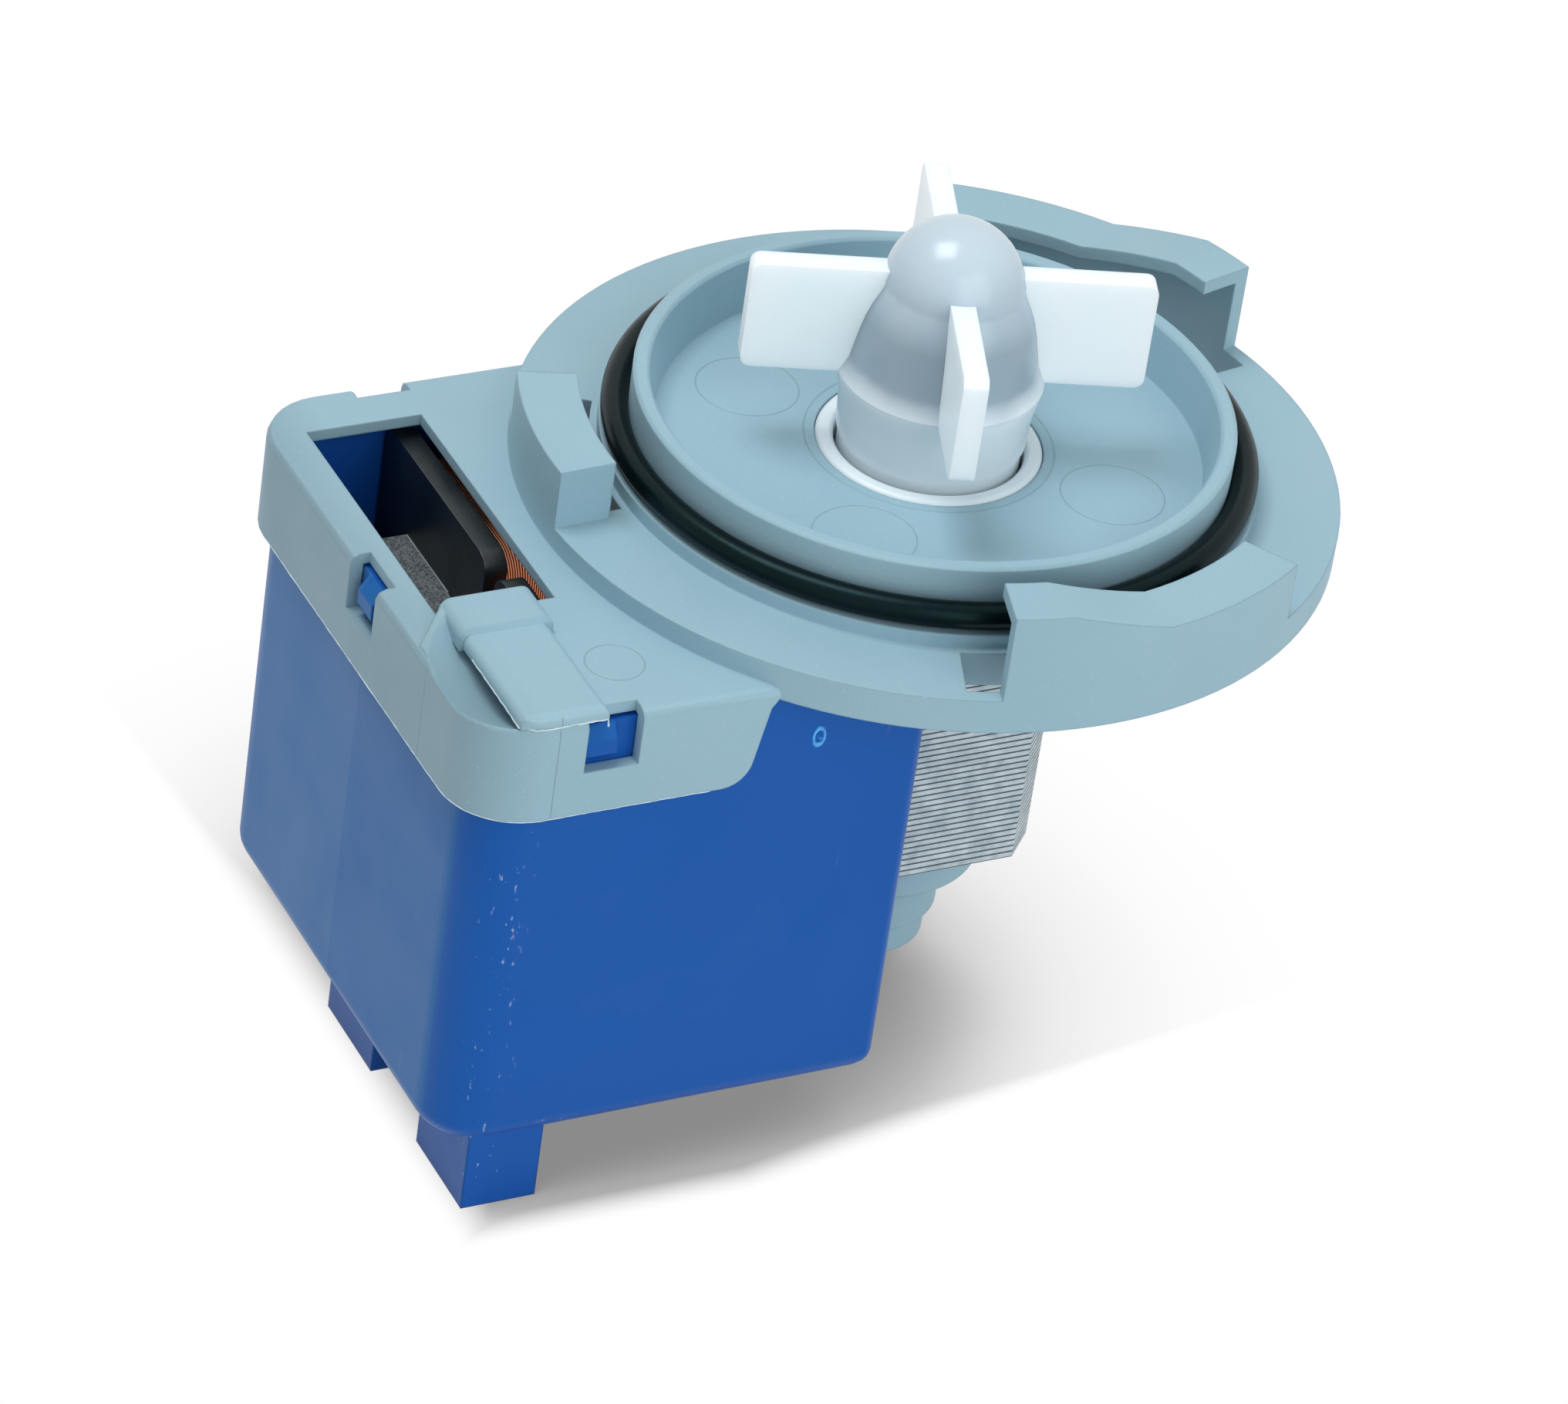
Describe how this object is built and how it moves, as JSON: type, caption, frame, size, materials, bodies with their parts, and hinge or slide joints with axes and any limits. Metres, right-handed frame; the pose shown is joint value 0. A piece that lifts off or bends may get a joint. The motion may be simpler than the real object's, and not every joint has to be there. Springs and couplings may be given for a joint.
{
  "type": "drain pump",
  "caption": "Bayonet-flanged drain pump: cup with seal ring and free-turning impeller over a laminated-core motor, its coils in a blue housing beside it.",
  "frame": {"origin": "on the pump axis, in the plane of the flange's top face, the centre of the bayonet mount", "axes": "+Z along the pump axis towards the impeller, -X towards the coil housing, +Y completes the right-handed frame"},
  "size_m": [0.0987, 0.08, 0.086],
  "materials": {
    "grey_plastic": "fine grain, light grey-blue moulding",
    "seal_rubber": "smooth black, a little dust",
    "carrier_plastic": "off-white, smooth",
    "bush_carbon": "sintered, dull",
    "shaft_steel": "ground",
    "magnet_ferrite": "ground ferrite, dark grey",
    "rotor_plastic": "natural white",
    "washer_steel": "punched",
    "damper_rubber": "matt black",
    "impeller_plastic": "translucent bluish white, satin",
    "lamination_steel": "sheared sheet edges, pale grey",
    "yoke_steel": "dark, grainy sheet face",
    "bobbin_plastic": "glass-filled, dark",
    "copper": "enamelled round wire",
    "cutout_ceramic": "pale, dull",
    "terminal_brass": "tinned strip",
    "housing_plastic": "smooth blue moulding, satin"
  },
  "bodies": {
    "pump_body": {"head_moulding": "grey_plastic", "rotor_chamber": "grey_plastic", "flange_o_ring": "seal_rubber", "bearing_carrier": "carrier_plastic", "carrier_seal": "seal_rubber", "front_bush": "bush_carbon", "rear_bush": "bush_carbon", "rear_bush_rubber": "seal_rubber", "front_core_leg": "lamination_steel", "back_core_leg": "lamination_steel", "core_yoke": "yoke_steel", "front_bobbin": "bobbin_plastic", "back_bobbin": "bobbin_plastic", "front_coil": "copper", "back_coil": "copper", "coil_link_wire": "copper", "coil_leads": "copper", "thermal_cutout": "cutout_ceramic", "front_terminal": "terminal_brass", "back_terminal": "terminal_brass", "coil_housing": "housing_plastic"},
    "rotor": {"rotor_shaft": "shaft_steel", "rotor_magnet": "magnet_ferrite", "rotor_sleeve": "rotor_plastic", "front_end_plate": "rotor_plastic", "rear_end_plate": "rotor_plastic", "front_thrust_washer": "washer_steel", "rear_thrust_washer": "washer_steel", "coupling_driver": "rotor_plastic", "coupling_damper": "damper_rubber"},
    "impeller": {"impeller": "impeller_plastic"}
  },
  "joints": [
    {"name": "rotor_spin", "type": "hinge", "parent": "pump_body", "child": "rotor", "pos_m": [0, 0, -0.026], "axis": [0, 0, 1], "continuous": true},
    {"name": "impeller_free_play", "type": "hinge", "parent": "rotor", "child": "impeller", "pos_m": [0, 0, 0.012], "axis": [0, 0, 1], "range_deg": [0, 150]}
  ]
}
